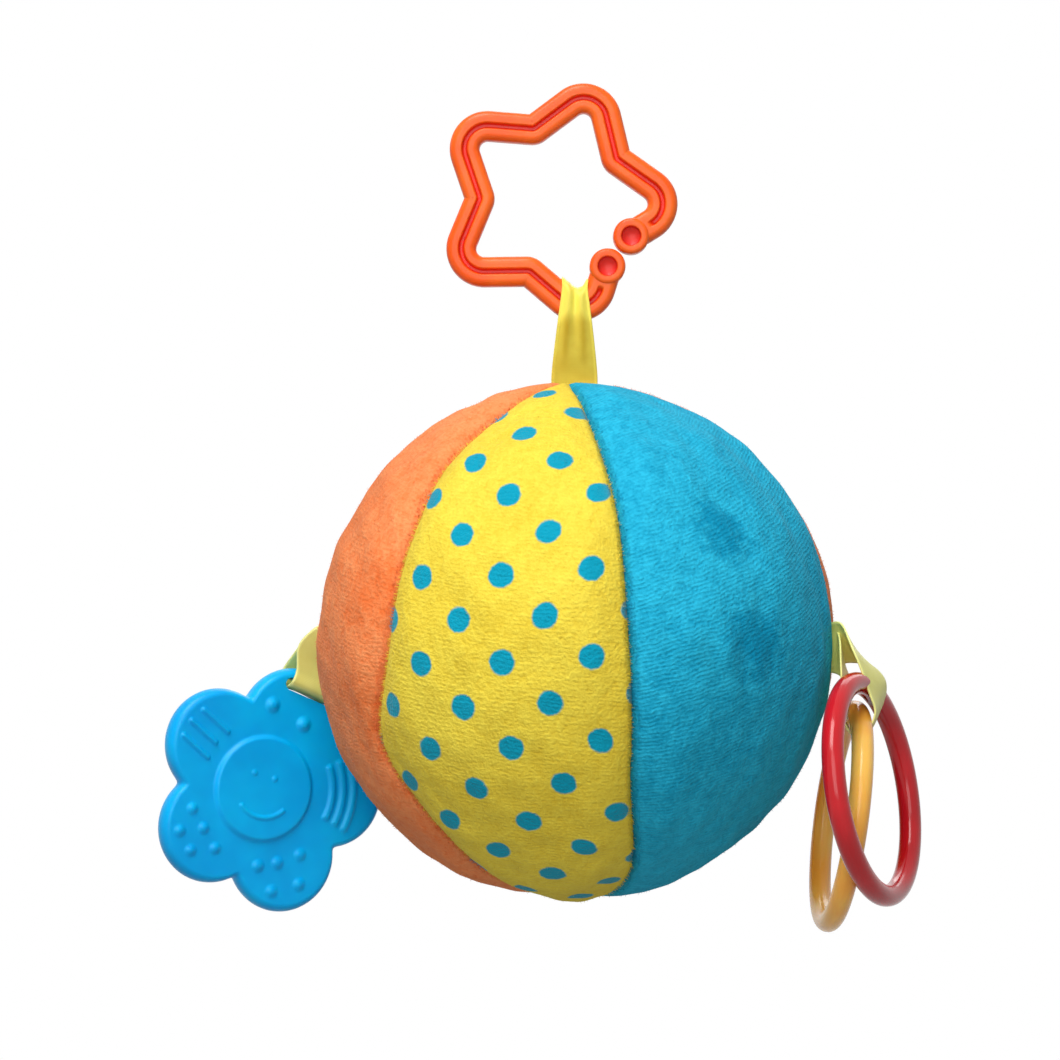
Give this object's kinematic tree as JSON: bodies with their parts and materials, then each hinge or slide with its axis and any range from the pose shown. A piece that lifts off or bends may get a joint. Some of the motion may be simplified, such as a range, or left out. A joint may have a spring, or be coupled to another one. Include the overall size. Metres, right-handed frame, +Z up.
{
  "type": "hanging plush teether ball",
  "caption": "Plush baby ball of coloured gores with a rattle inside, hung on a star link, with a flower teether and teething rings on ribbon loops.",
  "frame": {"origin": "the inside of the star link's top point, where a strap or bar carries the toy", "axes": "+Z up, +X to the right of the front view, the front faces -Y"},
  "size_m": [0.192, 0.1292, 0.2117],
  "materials": {
    "orange_plush": "short brushed pile",
    "dotted_plush": "short brushed pile with printed dots",
    "turquoise_plush": "short brushed pile",
    "filling": "loose fibre",
    "rattle_plastic": "moulded",
    "bead_plastic": "moulded",
    "link_plastic": "satin moulded",
    "satin": "satin ribbon",
    "flower_plastic": "translucent moulded",
    "red_plastic": "polished",
    "amber_plastic": "translucent polished"
  },
  "bodies": {
    "link": {"star_link": "link_plastic"},
    "top_loop": {"top_ribbon": "satin"},
    "ball": {"panel_orange_front": "orange_plush", "panel_dotted_front": "dotted_plush", "panel_turquoise_front": "turquoise_plush", "panel_orange_back": "orange_plush", "panel_dotted_back": "dotted_plush", "panel_turquoise_back": "turquoise_plush", "stuffing_upper": "filling", "stuffing_lower": "filling", "rattle_shell_upper": "rattle_plastic", "rattle_shell_lower": "rattle_plastic"},
    "bead_1": {"rattle_bead_1": "bead_plastic"},
    "bead_2": {"rattle_bead_2": "bead_plastic"},
    "bead_3": {"rattle_bead_3": "bead_plastic"},
    "left_loop": {"left_ribbon": "satin"},
    "teether": {"flower_teether": "flower_plastic"},
    "right_loop": {"right_ribbon": "satin"},
    "red": {"red_ring": "red_plastic"},
    "amber": {"amber_ring": "amber_plastic"}
  },
  "joints": [
    {"name": "link_swing", "type": "hinge", "parent": "link", "child": "top_loop", "pos_m": [0, 0, -0.04792], "axis": [1, 0, 0], "range_deg": [-90, 90]},
    {"name": "ball_twist", "type": "hinge", "parent": "top_loop", "child": "ball", "pos_m": [-0.00243, 0, -0.13252], "axis": [0, 0, 1], "range_deg": [-90, 90], "stiffness_Nm_per_rad": 0.001},
    {"name": "left_lift", "type": "hinge", "parent": "ball", "child": "left_loop", "pos_m": [-0.06373, 0.01968, -0.12819], "axis": [0.3161, 0.9487, 0], "range_deg": [0, 100]},
    {"name": "teether_swing", "type": "hinge", "parent": "left_loop", "child": "teether", "pos_m": [-0.0711, 0.02478, -0.14255], "axis": [0.8128, 0.4322, -0.3907], "range_deg": [-10, 100]},
    {"name": "right_lift", "type": "hinge", "parent": "ball", "child": "right_loop", "pos_m": [0.05854, -0.02069, -0.12824], "axis": [-0.3108, -0.9505, 0], "range_deg": [0, 80]},
    {"name": "red_ring_swing", "type": "hinge", "parent": "right_loop", "child": "red", "pos_m": [0.06841, -0.01528, -0.1427], "axis": [-0.4035, -0.915, 0], "range_deg": [0, 100]},
    {"name": "amber_ring_turn", "type": "hinge", "parent": "right_loop", "child": "amber", "pos_m": [0.0632, -0.00888, -0.17544], "axis": [0.9879, 0.0691, -0.1392], "continuous": true},
    {"name": "bead_1_hop", "type": "slide", "parent": "ball", "child": "bead_1", "axis": [0, 0, 1], "range_m": [0, 0.0245]},
    {"name": "bead_2_hop", "type": "slide", "parent": "ball", "child": "bead_2", "axis": [0, 0, 1], "range_m": [0, 0.0245]},
    {"name": "bead_3_hop", "type": "slide", "parent": "ball", "child": "bead_3", "axis": [0, 0, 1], "range_m": [0, 0.0245]}
  ]
}
